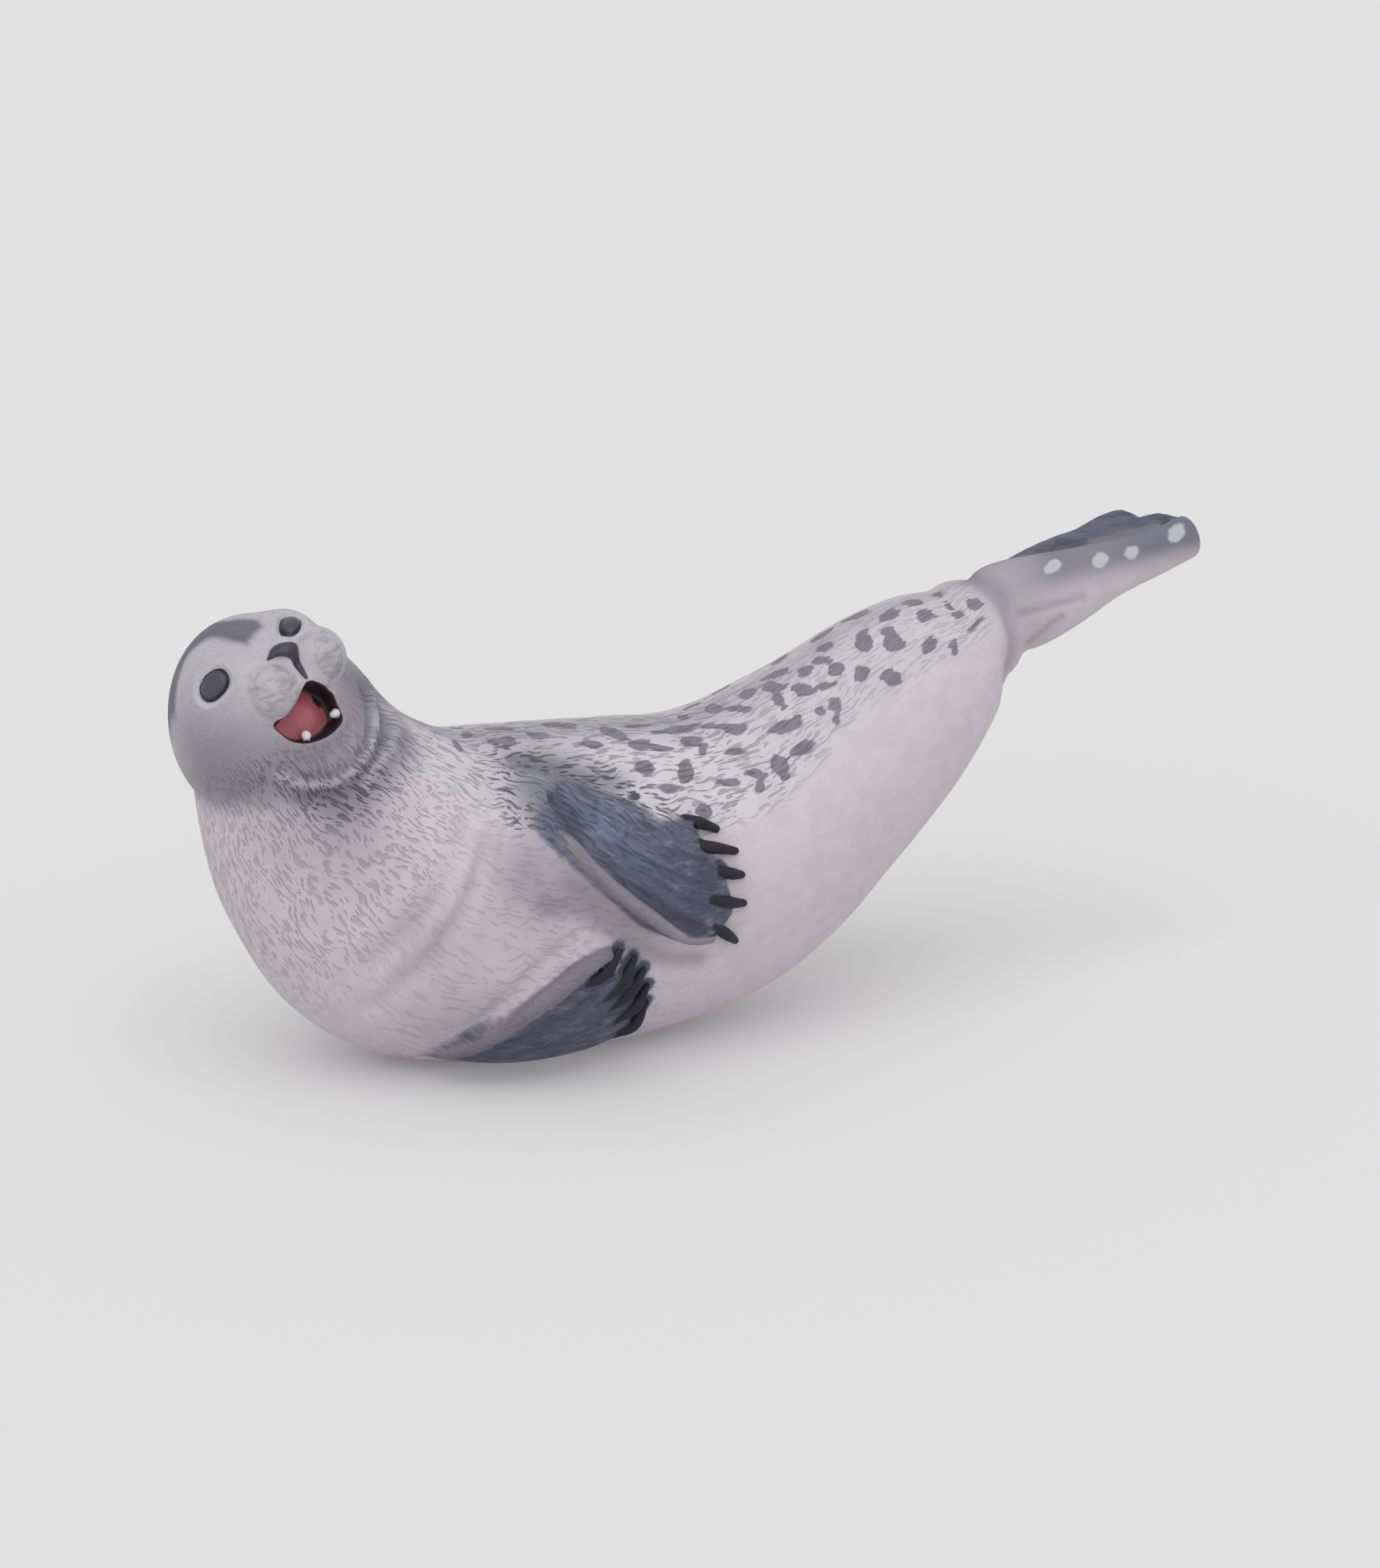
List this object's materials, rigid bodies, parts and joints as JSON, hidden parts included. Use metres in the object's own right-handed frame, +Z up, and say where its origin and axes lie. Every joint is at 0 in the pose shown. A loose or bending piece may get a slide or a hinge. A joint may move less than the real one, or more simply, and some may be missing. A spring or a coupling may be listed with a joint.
{
  "type": "seal figurine",
  "caption": "Small moulded seal lying on its side, head and tail raised, mouth open, painted grey with dark spots.",
  "frame": {"origin": "middle of the bounding box in X and Y, on the plane the figurine rests on", "axes": "+X along the body from the head to the hind flippers, -Y the side that the face looks to, +Z up"},
  "size_m": [0.0926, 0.0304, 0.0405],
  "materials": {
    "painted_plastic": "hand-painted, matt, with glossier eyes"
  },
  "bodies": {
    "root": {"seal": "painted_plastic"}
  },
  "joints": []
}
